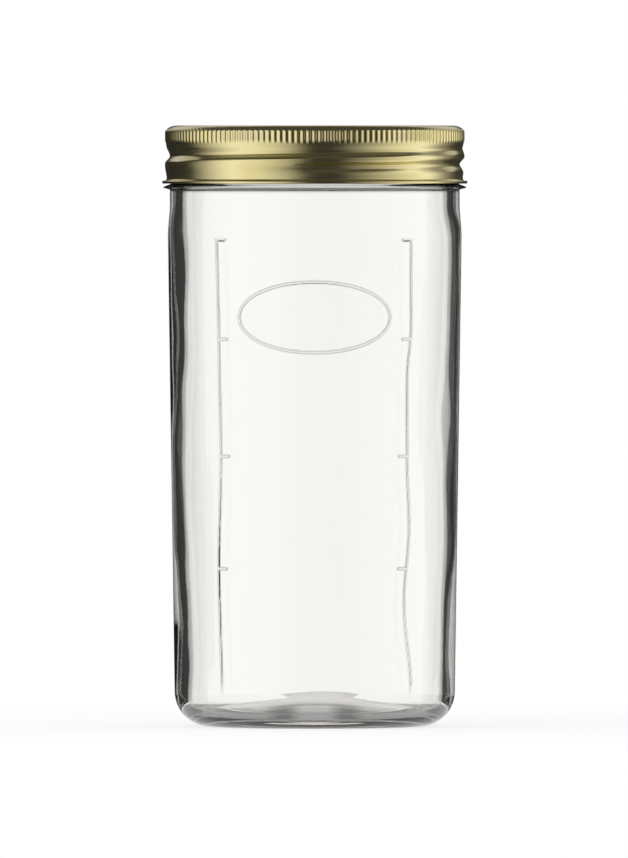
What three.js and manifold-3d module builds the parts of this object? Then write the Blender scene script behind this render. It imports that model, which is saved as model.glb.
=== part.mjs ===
// A wide-mouth preserving jar: a tapered clear glass jar with a screw finish, closed by a two-part lid.
// The lid is a pressed metal disc with a sealing ring in its rim, held down by an open-centred screw band.
// Millimetres, +Z up. The origin is the centre of the base, on the surface that the jar stands on.

import * as THREE from "three";
import { mergeVertices } from "three/addons/utils/BufferGeometryUtils.js";
import Module from "manifold-3d";

const wasm = await Module();
wasm.setup();

// Glass body
const GLASS_HEIGHT = 195.2; // standing surface to sealing rim
const BODY_TOP_DIAMETER = 96.3; // just under the shoulder, the widest part of the wall
const BODY_BASE_DIAMETER = 91.9; // where the heel begins
const BODY_WALL = 4;
const BASE_THICKNESS = 4.4; // where the floor meets the heel
const HEEL_RADIUS = 11.6;
const INNER_HEEL_RADIUS = 6;
const PUSH_UP = 7.4; // rise of the hollow under the base
const FLOOR_RISE = 7.9; // rise of the floor over that hollow
const BEARING_WIDTH = 3.6; // flat ring that the jar stands on
const SHOULDER_HEIGHT = 11;
const NECK_HEIGHT = 4.4;
const NECK_STEP = 0.6; // the neck stands this far outside the finish

// Glass finish, which the lid fits
const FINISH_DIAMETER = 93.8; // between the turns of the thread
const FINISH_WALL = 3.4;
const RIM_ROUND = 1;
const BEAD_HEIGHT = 2.3;
const BEAD_ROUND = 0.4; // its upper edge
const BEAD_PROJECTION = 2.8; // beyond the finish
const THREAD_LEAD = 5.1;
const THREAD_DEPTH = 0.9;
const THREAD_WIDTH = 3.2;
const THREAD_DROP = 4.05; // rim down to the middle of the thread's upper end
const THREAD_START = -150; // degrees, counterclockwise from +X seen from above
const THREAD_SWEEP = 470; // degrees
const THREAD_RUNOUT = 40; // degrees over which each end dies into the wall

// Screw band, rolled from sheet
const BAND_SHEET = 0.3;
const BAND_HEIGHT = 18.7;
const BAND_REACH = 1.45; // the flat top reaches this far in over the disc's panel
const BAND_CORNER = 2.1;
const CREST_GAP = 0.75; // thread crest to the inside of the knurl
const ROOT_GAP = 0.35; // finish to the band's groove
const HEM_RADIUS = 0.45; // rolled inner edge of the flat top
const KNURL_COUNT = 160;
const KNURL_HEIGHT = 3.8;
const KNURL_DEPTH = 0.3;
const KNURL_EASE = 2; // height over which the wall comes out from under the knurl
const GROOVE_DROP = 2.2; // middle of the groove under that of the thread, whose underside it bears on
const GROOVE_FLANK = 2.2; // height of its steep flank
const GROOVE_LOWER_FLANK = 3; // height of its lower flank where it starts
const GROOVE_UPPER_FLANK = 5; // height of its upper flank from half a turn on, if the knurl leaves room
const GROOVE_START = -100; // degrees
const GROOVE_SWEEP = 530; // degrees
const GROOVE_RUNIN = 60; // degrees
const GROOVE_RUNOUT = 160; // degrees
const FOOT_TAPER = 0.55; // the wall draws in by this much at its foot
const FOOT_EASE = 4; // height over which it does
const LIP_ROUND = 0.3; // folded bottom edge
const LIP_FLARE = 0.8; // hollow round that turns the wall out into the lip
const LIP_PROJECTION = 0.95; // beyond the knurl
const BEAD_GAP = 0.1; // lip to glass bead

// Lid disc and sealing ring
const DISC_SHEET = 0.28;
const DISC_OVERHANG = 0.1; // beyond the finish
const DISC_LIP = 0.3; // straight edge below its rounded corner
const DISC_EDGE_ROUND = 0.9;
const DISC_PANEL_DROP = 1.4; // rim channel down to the panel
const DISC_PANEL_GAP = 1.4; // panel to the jar's bore
const DISC_WALL_SLOPE = 1.1; // the panel's side leans out by this much on its way up
const DISC_FLAT = 13.1; // flat ring of the panel, round its raised centre
const DISC_CENTRE_RISE = 0.7;
const DISC_CENTRE_SLOPE = 1.4; // width of the slope up to it
const SEAL_THICKNESS = 1;
const SEAL_SIDE_GAP = 0.1; // to each side of the disc's rim channel
const SEAL_ROUND = 0.3;
const SEAT_GAP = 0.1; // between pieces that rest on each other
const BOND_GAP = 0.02; // sealing ring to disc

// Facets
const AROUND = 48;
const ARC_STEPS = 3;
const ROWS_PER_TURN = 5;

const finishRadius = FINISH_DIAMETER / 2;
const boreRadius = finishRadius - FINISH_WALL;
const crestRadius = finishRadius + THREAD_DEPTH;
const bandRadius = crestRadius + CREST_GAP + KNURL_DEPTH + BAND_SHEET;
const grooveRadius = finishRadius + ROOT_GAP + BAND_SHEET;
const bandFootRadius = bandRadius - FOOT_TAPER;
const rimZ = GLASS_HEIGHT;
const sealZ = rimZ + SEAT_GAP;
const channelZ = sealZ + SEAL_THICKNESS + BOND_GAP;
const discZ = channelZ + DISC_SHEET;
const bandTopZ = discZ + SEAT_GAP + BAND_SHEET;
const bandBottomZ = bandTopZ - BAND_HEIGHT;
const beadTopZ = bandBottomZ - BEAD_GAP;
const beadBottomZ = beadTopZ - BEAD_HEIGHT;
const knurlRadius = bandRadius - KNURL_DEPTH;
const cornerZ = bandTopZ - BAND_CORNER;
const knurlBottomZ = cornerZ - KNURL_HEIGHT;
const lipTopZ = bandBottomZ + 2 * LIP_ROUND;
const bandFootZ = lipTopZ + LIP_FLARE;
const edgeRadius = finishRadius + DISC_OVERHANG;
const panelRadius = boreRadius - DISC_PANEL_GAP;
const channelInner = panelRadius + DISC_WALL_SLOPE + DISC_SHEET;
const channelOuter = edgeRadius - DISC_EDGE_ROUND;

const point = (r, z) => new THREE.Vector2(r, z);
const toRadians = THREE.MathUtils.degToRad;
const { clamp, lerp, smoothstep } = THREE.MathUtils;

// Points of an arc in the radius-height plane, both ends included.
function arc(r, z, radius, from, to, steps = ARC_STEPS) {
  return Array.from({ length: steps + 1 }, (_, i) => {
    const angle = toRadians(lerp(from, to, i / steps));
    return point(r + radius * Math.cos(angle), z + radius * Math.sin(angle));
  });
}

// Points of a smooth S from one place to another, upright at both ends.
function ease(r0, z0, r1, z1, steps = ARC_STEPS) {
  return Array.from({ length: steps + 1 }, (_, i) =>
    point(lerp(r0, r1, smoothstep(i / steps, 0, 1)), lerp(z0, z1, i / steps)),
  );
}

// Points of the arched rise in the middle of the base, from the axis out to its edge.
function pushUp(edgeRadius, edgeZ, rise, steps = 2 * ARC_STEPS) {
  return Array.from({ length: steps + 1 }, (_, i) =>
    point((edgeRadius * i) / steps, edgeZ + rise * Math.cos((Math.PI / 2) * (i / steps))),
  );
}

// A profile turned about +Z, starting at the front. Profiles run counterclockwise, with height upwards.
const SEAM_ANGLE = -90; // degrees
function revolve(profile) {
  return new THREE.LatheGeometry(profile, AROUND).rotateX(Math.PI / 2);
}

// The bare closed surface: shared points merged, and triangles that came to nothing dropped.
function closedSurface(geometry) {
  const bare = geometry.clone();
  bare.deleteAttribute("normal");
  bare.deleteAttribute("uv");
  const merged = mergeVertices(bare, 1e-4);
  const index = [];
  for (let i = 0; i < merged.index.count; i += 3) {
    const [a, b, c] = [0, 1, 2].map((corner) => merged.index.getX(i + corner));
    if (a !== b && b !== c && c !== a) index.push(a, b, c);
  }
  merged.setIndex(index);
  merged.computeVertexNormals();
  return merged;
}

function solid(geometry) {
  const surface = closedSurface(geometry);
  return new wasm.Manifold(
    new wasm.Mesh({
      numProp: 3,
      vertProperties: new Float32Array(surface.attributes.position.array),
      triVerts: new Uint32Array(surface.index.array),
    }),
  );
}

function geometryOf(manifold) {
  const mesh = manifold.getMesh();
  const geometry = new THREE.BufferGeometry()
    .setAttribute("position", new THREE.BufferAttribute(mesh.vertProperties, 3))
    .setIndex(new THREE.BufferAttribute(mesh.triVerts, 1));
  geometry.computeVertexNormals();
  return geometry;
}

// 1 along a helix, dying to 0 over each end's stretch of degrees.
function runout(angle, start, sweep, startLength, endLength) {
  const end = start + sweep;
  return smoothstep(angle, start, start + startLength) * (1 - smoothstep(angle, end - endLength, end));
}

// Height of the middle of the glass thread at an angle in degrees that keeps counting from turn to turn.
function threadZ(angle) {
  return rimZ - THREAD_DROP + (THREAD_LEAD * (angle - THREAD_START - THREAD_SWEEP)) / 360;
}

// Height of the groove's flank on the side that the offset from its middle says. The long flank is the lower one
// at first and the upper one half a turn later, and each stops at the end of the wall.
function grooveFlank(offset, angle) {
  const along = smoothstep(angle, 0, 180);
  const middle = threadZ(angle) - GROOVE_DROP;
  if (offset > 0) return Math.min(lerp(GROOVE_FLANK, GROOVE_UPPER_FLANK, along), knurlBottomZ - middle);
  return Math.min(lerp(GROOVE_LOWER_FLANK, GROOVE_FLANK, along), middle - bandFootZ);
}

const glassThread = {
  drop: 0,
  flank: () => THREAD_WIDTH / 2,
  start: THREAD_START,
  sweep: THREAD_SWEEP,
  runIn: THREAD_RUNOUT,
  runOut: THREAD_RUNOUT,
};
const rolledGroove = {
  drop: GROOVE_DROP,
  flank: grooveFlank,
  start: GROOVE_START,
  sweep: GROOVE_SWEEP,
  runIn: GROOVE_RUNIN,
  runOut: GROOVE_RUNOUT,
};

// Share of a helical form's full height at a place on a wall, found on each turn that passes there.
function helixShare(degrees, z, form) {
  let most = 0;
  for (let angle = degrees - 720; angle <= form.start + form.sweep; angle += 360) {
    const offset = z - threadZ(angle) + form.drop;
    const along = offset / form.flank(offset, angle);
    if (Math.abs(along) >= 1) continue;
    const share = runout(angle, form.start, form.sweep, form.runIn, form.runOut);
    most = Math.max(most, share * Math.cos((Math.PI / 2) * along) ** 2);
  }
  return most;
}

// How far the thread stands out of the finish.
function threadHeight(degrees, z) {
  return THREAD_DEPTH * helixShare(degrees, z, glassThread);
}

// How far the band's wall stands out of its full radius, which is never: it is drawn in under the knurl,
// at the foot and most of all in the groove.
function bandInset(degrees, z) {
  const underKnurl = KNURL_DEPTH * smoothstep(z, knurlBottomZ - KNURL_EASE, knurlBottomZ);
  const atFoot = FOOT_TAPER * (1 - smoothstep(z, bandFootZ, bandFootZ + FOOT_EASE));
  const inGroove = bandRadius - grooveRadius;
  return -lerp(underKnurl + atFoot, inGroove, helixShare(degrees, z, rolledGroove));
}

// Rows of a wall between two heights, spaced so that one follows the middle of the helical form.
// They start a turn lower, because threadedWall lets them climb a turn.
function helixRows(radius, lowZ, highZ, form) {
  const spacing = THREAD_LEAD / ROWS_PER_TURN;
  const onForm = threadZ(SEAM_ANGLE) - form.drop;
  const first = Math.floor((lowZ - THREAD_LEAD - onForm) / spacing);
  const last = Math.ceil((highZ - onForm) / spacing);
  return Array.from({ length: last - first + 1 }, (_, i) => point(radius, onForm + (first + i) * spacing));
}

// A revolved profile whose wall rows climb with the thread, each place moved out by what moveOut says.
function threadedWall(profile, rows, lowZ, highZ, moveOut) {
  const geometry = revolve(profile);
  const positions = geometry.attributes.position;
  const wall = new Set(rows);
  for (let i = 0; i < positions.count; i++) {
    const row = profile[i % profile.length];
    if (!wall.has(row)) continue;
    const turn = Math.floor(i / profile.length) / AROUND;
    const degrees = SEAM_ANGLE + 360 * turn;
    const z = clamp(row.y + THREAD_LEAD * turn, lowZ, highZ);
    const r = row.x + moveOut(degrees, z);
    positions.setXYZ(i, r * Math.cos(toRadians(degrees)), r * Math.sin(toRadians(degrees)), z);
  }
  return geometry;
}

// The jar's section: hollow base, bearing ring, heel, tapered wall, shoulder, neck, bead, finish and rim,
// then back down inside.
function glassJar() {
  const baseRadius = BODY_BASE_DIAMETER / 2;
  const topRadius = BODY_TOP_DIAMETER / 2;
  const bearingRadius = baseRadius - HEEL_RADIUS;
  const neckRadius = finishRadius + NECK_STEP;
  const beadRadius = finishRadius + BEAD_PROJECTION;
  const beadRoundZ = beadTopZ - BEAD_ROUND;
  const neckZ = beadBottomZ - NECK_HEIGHT;
  const shoulderZ = neckZ - SHOULDER_HEIGHT;
  const roundZ = rimZ - RIM_ROUND;
  const innerFloorRadius = baseRadius - BODY_WALL - INNER_HEEL_RADIUS;
  const innerHeelZ = BASE_THICKNESS + INNER_HEEL_RADIUS;
  const finish = helixRows(finishRadius, beadTopZ, roundZ, glassThread);
  const profile = [
    ...pushUp(bearingRadius - BEARING_WIDTH, 0, PUSH_UP),
    ...arc(bearingRadius, HEEL_RADIUS, HEEL_RADIUS, -90, 0, 2 * ARC_STEPS),
    ...ease(topRadius, shoulderZ, neckRadius, neckZ),
    ...ease(neckRadius, beadBottomZ, beadRadius, beadRoundZ),
    ...arc(beadRadius - BEAD_ROUND, beadRoundZ, BEAD_ROUND, 0, 90).slice(1),
    ...finish,
    ...arc(finishRadius - RIM_ROUND, roundZ, RIM_ROUND, 0, 90).slice(1),
    ...arc(boreRadius + RIM_ROUND, roundZ, RIM_ROUND, 90, 180),
    ...ease(boreRadius, neckZ, topRadius - BODY_WALL, shoulderZ),
    ...arc(innerFloorRadius, innerHeelZ, INNER_HEEL_RADIUS, 0, -90, 2 * ARC_STEPS),
    ...pushUp(innerFloorRadius, BASE_THICKNESS, FLOOR_RISE).reverse().slice(1),
  ];
  return closedSurface(threadedWall(profile, finish, beadTopZ, roundZ, threadHeight));
}

// The band's section: hemmed flat top, corner, knurled wall, grooved wall and flared lip, then back up inside.
// It is listed from the top corner down, which is clockwise, and then turned round.
function bandSheet() {
  const lipCentre = bandRadius + LIP_PROJECTION - LIP_ROUND;
  const hemCentre = panelRadius - BAND_REACH + HEM_RADIUS;
  const hemReach = Math.sqrt(HEM_RADIUS ** 2 - (HEM_RADIUS - BAND_SHEET) ** 2);
  const innerCorner = BAND_CORNER - BAND_SHEET;
  const outerWall = helixRows(bandRadius, bandFootZ, knurlBottomZ, rolledGroove).reverse();
  const innerWall = helixRows(bandRadius - BAND_SHEET, bandFootZ, knurlBottomZ, rolledGroove);
  const loop = [
    ...arc(knurlRadius - BAND_CORNER, cornerZ, BAND_CORNER, 90, 0),
    ...outerWall,
    ...arc(bandFootRadius + LIP_FLARE, bandFootZ, LIP_FLARE, 180, 270),
    ...arc(lipCentre, bandBottomZ + LIP_ROUND, LIP_ROUND, 90, -90),
    point(bandFootRadius - BAND_SHEET, bandBottomZ),
    ...innerWall,
    ...arc(knurlRadius - BAND_CORNER, cornerZ, innerCorner, 0, 90),
    point(hemCentre + hemReach, bandTopZ - BAND_SHEET),
    ...arc(hemCentre, bandTopZ - HEM_RADIUS, HEM_RADIUS, -90, -270),
  ].reverse();
  const profile = [...loop, loop[0].clone()];
  return threadedWall(profile, [...outerWall, ...innerWall], bandFootZ, knurlBottomZ, bandInset);
}

// Upright ribs around the band below its top corner, as one toothed ring bedded in the middle of the sheet.
function knurlRing() {
  const around = (count, radiusAt) =>
    Array.from({ length: count }, (_, i) => {
      const angle = (2 * Math.PI * i) / count + toRadians(SEAM_ANGLE);
      return point(radiusAt(i) * Math.cos(angle), radiusAt(i) * Math.sin(angle));
    });
  const outline = new THREE.Shape(around(2 * KNURL_COUNT, (i) => (i % 2 ? knurlRadius : bandRadius)));
  outline.holes.push(new THREE.Path(around(AROUND, () => knurlRadius - BAND_SHEET / 2)));
  const depth = KNURL_HEIGHT;
  return new THREE.ExtrudeGeometry(outline, { depth, bevelEnabled: false }).translate(0, 0, knurlBottomZ);
}

function screwBand() {
  return geometryOf(solid(bandSheet()).add(solid(knurlRing())));
}

// The disc's section: panel with a raised centre, sloping side, flat rim channel and turned-down edge,
// all one sheet.
function lidDisc() {
  const panelZ = discZ - DISC_PANEL_DROP;
  const lipZ = discZ - DISC_EDGE_ROUND - DISC_LIP;
  const centreEdge = panelRadius - DISC_FLAT;
  const centreRadius = centreEdge - DISC_CENTRE_SLOPE;
  const top = [
    point(0, panelZ + DISC_CENTRE_RISE),
    point(centreRadius, panelZ + DISC_CENTRE_RISE),
    point(centreEdge, panelZ),
    point(panelRadius, panelZ),
    point(panelRadius + DISC_WALL_SLOPE, discZ),
    ...arc(channelOuter, discZ - DISC_EDGE_ROUND, DISC_EDGE_ROUND, 90, 0),
    point(edgeRadius, lipZ),
  ];
  const innerRound = DISC_EDGE_ROUND - DISC_SHEET;
  const under = [
    point(edgeRadius - DISC_SHEET, lipZ),
    ...arc(channelOuter, discZ - DISC_EDGE_ROUND, innerRound, 0, 90),
    point(channelInner, channelZ),
    point(panelRadius + DISC_SHEET, panelZ - DISC_SHEET),
    point(centreEdge - DISC_SHEET, panelZ - DISC_SHEET),
    point(centreRadius - DISC_SHEET, panelZ + DISC_CENTRE_RISE - DISC_SHEET),
    point(0, panelZ + DISC_CENTRE_RISE - DISC_SHEET),
  ];
  return closedSurface(revolve([...top, ...under].reverse()));
}

// The sealing ring fills the disc's rim channel, over the jar's rim.
function sealingRing() {
  const inner = channelInner + SEAL_SIDE_GAP + SEAL_ROUND;
  const outer = channelOuter - SEAL_SIDE_GAP - SEAL_ROUND;
  const low = sealZ + SEAL_ROUND;
  const top = sealZ + SEAL_THICKNESS;
  const loop = [
    ...arc(inner, low, SEAL_ROUND, -180, -90, 2),
    ...arc(outer, low, SEAL_ROUND, -90, 0, 2),
    point(outer + SEAL_ROUND, top),
    point(inner - SEAL_ROUND, top),
  ];
  return closedSurface(revolve([...loop, loop[0].clone()]));
}

const clearGlass = new THREE.MeshStandardMaterial({
  color: 0xe4e9e6,
  roughness: 0.04,
  metalness: 0,
  transparent: true,
  opacity: 0.3,
});
const goldLacquer = new THREE.MeshStandardMaterial({ color: 0xc8b36a, roughness: 0.32, metalness: 1 });
const discLacquer = new THREE.MeshStandardMaterial({ color: 0xcbb874, roughness: 0.3, metalness: 1 });
const sealCompound = new THREE.MeshStandardMaterial({ color: 0xcbc7be, roughness: 0.6, metalness: 0 });

function piece(name, geometry, material) {
  const mesh = new THREE.Mesh(geometry, material);
  mesh.name = name;
  return mesh;
}

const jar = new THREE.Group();
const lid = new THREE.Group();
lid.add(
  piece("lid_disc", lidDisc(), discLacquer),
  piece("sealing_ring", sealingRing(), sealCompound),
  piece("screw_band", screwBand(), goldLacquer),
);
jar.add(piece("glass_jar", glassJar(), clearGlass), lid);

export default jar;
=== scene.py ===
"""Preserving jar: a moulded clear glass jar closed by a pressed disc under a rolled gold screw band.

Lengths are in metres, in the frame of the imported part: +Z up, the front of the jar faces -Y.
"""

import math

import bmesh
import bpy
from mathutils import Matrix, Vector, noise


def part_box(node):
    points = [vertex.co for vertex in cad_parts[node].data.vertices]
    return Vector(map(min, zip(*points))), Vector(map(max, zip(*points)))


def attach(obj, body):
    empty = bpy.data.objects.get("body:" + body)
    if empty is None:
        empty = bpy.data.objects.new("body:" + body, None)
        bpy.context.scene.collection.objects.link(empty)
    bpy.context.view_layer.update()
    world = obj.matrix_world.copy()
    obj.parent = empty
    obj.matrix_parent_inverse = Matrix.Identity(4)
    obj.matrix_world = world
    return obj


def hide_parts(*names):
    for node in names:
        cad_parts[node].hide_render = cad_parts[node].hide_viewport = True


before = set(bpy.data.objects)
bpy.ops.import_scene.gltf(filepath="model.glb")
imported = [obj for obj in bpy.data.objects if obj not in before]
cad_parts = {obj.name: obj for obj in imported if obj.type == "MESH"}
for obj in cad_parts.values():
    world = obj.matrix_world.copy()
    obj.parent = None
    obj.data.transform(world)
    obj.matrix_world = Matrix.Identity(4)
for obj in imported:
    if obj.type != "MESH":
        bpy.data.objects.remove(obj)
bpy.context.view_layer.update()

MM = 0.001
MERGE_DISTANCE = 0.001 * MM

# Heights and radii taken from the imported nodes
jar_low, jar_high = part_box("glass_jar")
disc_low, disc_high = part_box("lid_disc")
seal_low, seal_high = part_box("sealing_ring")
band_low, band_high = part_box("screw_band")
RIM_Z = jar_high[2]
BEAD_RADIUS = jar_high[0]
DISC_TOP_Z = disc_high[2]
DISC_RADIUS = disc_high[0]
SEAL_RADIUS = seal_high[0]
BAND_TOP_Z = band_high[2]
BAND_BOTTOM_Z = band_low[2]
LIP_OUTER_RADIUS = band_high[0]

# Glass
BEAD_PROJECTION = 2.8 * MM
BEAD_HEIGHT = 2.3 * MM
BEAD_GAP = 0.1 * MM
BEAD_TIP_DROP = 1.5 * MM
FINISH_WALL = 3.4 * MM
RIM_ROUND = 1.0 * MM
NECK_STEP = 0.6 * MM
NECK_HEIGHT = 4.4 * MM
SHOULDER_HEIGHT = 11.0 * MM
BODY_TOP_RADIUS = 48.15 * MM
BODY_BASE_RADIUS = 45.95 * MM
BODY_WALL = 4.0 * MM
HEEL_RADIUS = 11.6 * MM
INNER_HEEL = 6.0 * MM
BEARING_WIDTH = 3.6 * MM
BASE_THICKNESS = 4.4 * MM
PUSH_UP = 6.9 * MM
FLOOR_RISE = 7.4 * MM

# Helix of the band's groove and the glass thread; angles in degrees from +X, counted on over the turns
THREAD_LEAD = 5.1 * MM
GROOVE_RISE = 6.1 * MM
GROOVE_DEPTH = 1.6 * MM
GROOVE_FLANK = 2.2 * MM
GROOVE_LOWER_FLANK = 3.0 * MM
GROOVE_UPPER_FLANK = 5.0 * MM
GROOVE_CREASE = 0.25
GROOVE_SHARPNESS = 1.25
GROOVE_START = -125
GROOVE_SWEEP = 555
GROOVE_RUNIN = 40
GROOVE_RUNOUT = 160
THREAD_ABOVE_GROOVE = 2.2 * MM
THREAD_DEPTH = 0.9 * MM
THREAD_WIDTH = 3.2 * MM
THREAD_START = -150
THREAD_SWEEP = 470
THREAD_RUNOUT = 40

# Band
BAND_SHEET = 0.3 * MM
BAND_CORNER = 2.1 * MM
CORNER_REACH = 3.5 * MM
FOOT_TAPER = 0.55 * MM
FOOT_EASE = 4.0 * MM
LIP_ROUND = 0.3 * MM
LIP_FLARE = 0.8 * MM
LIP_PROJECTION = 0.95 * MM
LIP_DROP = 0.35 * MM
HEM_RADIUS = 0.45 * MM
KNURL_COUNT = 160
KNURL_HEIGHT = 3.8 * MM
KNURL_DEPTH = 0.3 * MM
KNURL_FADE = 1.1 * MM
KNURL_EASE = 2.0 * MM
WINDOW_RADIUS = 40.65 * MM

# Disc and its seal
DISC_SHEET = 0.28 * MM
DISC_EDGE_ROUND = 0.9 * MM
DISC_LIP = 0.3 * MM
DISC_PANEL_RADIUS = 42.1 * MM
DISC_PANEL_DROP = 1.4 * MM
DISC_WALL_SLOPE = 1.1 * MM
DISC_CENTRE_RADIUS = 27.6 * MM
DISC_CENTRE_SLOPE = 1.4 * MM
DISC_CENTRE_RISE = 0.7 * MM
SEAL_SIDE_GAP = 0.1 * MM
SEAL_INNER_RADIUS = DISC_PANEL_RADIUS + DISC_WALL_SLOPE + DISC_SHEET + SEAL_SIDE_GAP
SEAL_ROUND = 0.3 * MM

# Raised marks on the front of the glass; angles in degrees from the front
FRONT = -90
MARK_WIDTH = 1.5 * MM
MARK_HEIGHT = 0.55 * MM
LEFT_LINE = ((12, 41.2), (52, 42.2), (91, 40.5), (127, 41.0), (160, 41.6))
RIGHT_LINE = ((12, 43.1), (42, 38.9), (65, 41.2), (88, 39.8), (114, 39.4), (131, 41.2), (160, 40.8))
SIDE_LINE_TOP_Z = 159.7 * MM
SIDE_LINE_BOTTOM_Z = 13 * MM
TICK_LENGTH = 3.4 * MM
TICK_HEIGHTS = (159.7 * MM, 127.2 * MM, 89.0 * MM, 52.3 * MM)
OVAL_Z = 134.4 * MM
OVAL_HALF_WIDTH = 26 * MM
OVAL_HALF_HEIGHT = 11.5 * MM

# Unevenness of the blown inner wall
WALL_WANDER = 0.75 * MM
WALL_WANDER_HEIGHT = 70 * MM
WANDER_AROUND = 1.7
WANDER_START = 3.1
WALL_RIPPLE = 0.12 * MM
WALL_RIPPLE_HEIGHT = 16 * MM
RIPPLE_AROUND = 4.0
RIPPLE_START = 9.7

FINISH_RADIUS = BEAD_RADIUS - BEAD_PROJECTION
BORE_RADIUS = FINISH_RADIUS - FINISH_WALL
NECK_RADIUS = FINISH_RADIUS + NECK_STEP
BEAD_TOP_Z = BAND_BOTTOM_Z - BEAD_GAP
BEAD_BOTTOM_Z = BEAD_TOP_Z - BEAD_HEIGHT
NECK_Z = BEAD_BOTTOM_Z - NECK_HEIGHT
SHOULDER_Z = NECK_Z - SHOULDER_HEIGHT
BEARING_RADIUS = BODY_BASE_RADIUS - HEEL_RADIUS
BAND_RADIUS = LIP_OUTER_RADIUS - LIP_PROJECTION
KNURL_ROOT_RADIUS = BAND_RADIUS - KNURL_DEPTH
KNURL_TOP_Z = BAND_TOP_Z - BAND_CORNER
KNURL_BOTTOM_Z = KNURL_TOP_Z - KNURL_HEIGHT
BAND_FOOT_RADIUS = BAND_RADIUS - FOOT_TAPER
BAND_FOOT_Z = BAND_BOTTOM_Z + 2 * LIP_ROUND + LIP_FLARE


# Outlines: lists of (radius, height) points
def arc(centre, radius, start, end, steps):
    """A round stretch of an outline between two angles in degrees, both ends included."""
    angles = [math.radians(start + (end - start) * i / steps) for i in range(steps + 1)]
    return [(centre[0] + radius * math.cos(a), centre[1] + radius * math.sin(a)) for a in angles]


def smooth(value, low, high):
    """Eased share of the way from low to high."""
    share = min(max((value - low) / (high - low), 0.0), 1.0)
    return share * share * (3 - 2 * share)


def ease(start, end, steps):
    """A smooth S between two points, upright at both ends."""
    shares = [i / steps for i in range(steps + 1)]
    return [
        (
            start[0] + (end[0] - start[0]) * smooth(s, 0, 1),
            start[1] + (end[1] - start[1]) * s,
        )
        for s in shares
    ]


def run(start, end, steps):
    """A straight stretch without its two ends."""
    shares = [i / steps for i in range(1, steps)]
    return [tuple(a + (b - a) * s for a, b in zip(start, end)) for s in shares]


def push_up(edge_radius, edge_z, rise, steps):
    """The arched rise in the middle of the base, from the axis out to its edge."""
    shares = [i / steps for i in range(steps + 1)]
    return [(edge_radius * s, edge_z + rise * math.cos(math.pi / 2 * s)) for s in shares]


def turned(outline, skins, closed, sectors):
    """Spins an outline about the jar's axis through sectors that add up to a full turn.

    A sector is (sweep, strips, steps): one strip is spun in steps, and then repeated through the sweep.
    skins gives a number per point, kept on every vertex that comes from it.
    """
    mesh = bmesh.new()
    skin_layer = mesh.verts.layers.int.new("skin")
    about = {"cent": (0, 0, 0), "axis": (0, 0, 1), "use_merge": False}
    angle = math.radians(FRONT - sectors[0][0] / 2)
    for sweep, strips, steps in sectors:
        counts = [len(mesh.verts), len(mesh.edges), len(mesh.faces)]
        points = []
        for (radius, height), skin in zip(outline, skins):
            vert = mesh.verts.new((radius * math.cos(angle), radius * math.sin(angle), height))
            vert[skin_layer] = skin
            points.append(vert)
        pairs = list(zip(points, points[1:]))
        if closed:
            pairs.append((points[-1], points[0]))
        edges = [mesh.edges.new(pair) for pair in pairs]
        turn = math.radians(sweep) / strips
        bmesh.ops.spin(mesh, geom=points + edges, angle=turn, steps=steps, use_duplicate=False, **about)
        strip = [part for seq, n in zip((mesh.verts, mesh.edges, mesh.faces), counts) for part in seq[n:]]
        repeats = strips - 1
        whole = turn * repeats
        if repeats:
            bmesh.ops.spin(mesh, geom=strip, angle=whole, steps=repeats, use_duplicate=True, **about)
        angle += math.radians(sweep)
    bmesh.ops.remove_doubles(mesh, verts=mesh.verts, dist=MERGE_DISTANCE)
    bmesh.ops.recalc_face_normals(mesh, faces=mesh.faces)
    return mesh, skin_layer


def push_out(mesh, skin_layer, pushes):
    """Moves each vertex away from the axis by what the rule of its skin says for its angle and height."""
    for vert in mesh.verts:
        rule = pushes.get(vert[skin_layer])
        radius = math.hypot(vert.co.x, vert.co.y)
        if rule is None or radius < MM:
            continue
        degrees = math.degrees(math.atan2(vert.co.y, vert.co.x))
        grown = (radius + rule(degrees, vert.co.z)) / radius
        vert.co.x *= grown
        vert.co.y *= grown


def finished(mesh, name, material, body, node):
    """Makes a smooth object of a mesh, which stands for one node of the frame and moves with its body."""
    data = bpy.data.meshes.new(name)
    for face in mesh.faces:
        face.smooth = True
    mesh.to_mesh(data)
    mesh.free()
    piece = bpy.data.objects.new(name, data)
    bpy.context.collection.objects.link(piece)
    data.materials.append(material)
    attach(piece, body)
    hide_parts(node)
    return piece


# Helical forms
def runout(angle, start, sweep, run_in, run_out):
    """1 along a helix, dying to 0 over each end."""
    end = start + sweep
    return smooth(angle, start, start + run_in) * (1 - smooth(angle, end - run_out, end))


def ridge(distance, width):
    """Share of a rounded ridge's height at a distance from its middle line."""
    return math.cos(math.pi * distance / width) ** 2 if abs(distance) < width / 2 else 0.0


def turns_past(degrees, z):
    """The angles of the helix's turns at a place, and the place's heights over them."""
    for turn in range(-2, 3):
        angle = degrees + 360 * turn
        yield angle, z - BAND_BOTTOM_Z - GROOVE_RISE - THREAD_LEAD * angle / 360


def thread_share(degrees, z):
    """Share of the glass thread's height."""
    most = 0.0
    for angle, over in turns_past(degrees, z):
        share = ridge(over - THREAD_ABOVE_GROOVE, THREAD_WIDTH)
        most = max(most, share * runout(angle, THREAD_START, THREAD_SWEEP, THREAD_RUNOUT, THREAD_RUNOUT))
    return most


def groove_flank(angle, over, z):
    """Height of the groove's flank: the lower one is long at first, the upper one half a turn later."""
    along = smooth(angle, 0, 180)
    if over > 0:
        upper = GROOVE_FLANK + (GROOVE_UPPER_FLANK - GROOVE_FLANK) * along
        return min(upper, KNURL_BOTTOM_Z - z + over)
    lower = GROOVE_LOWER_FLANK + (GROOVE_FLANK - GROOVE_LOWER_FLANK) * along
    return min(lower, z - over - BAND_FOOT_Z)


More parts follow.
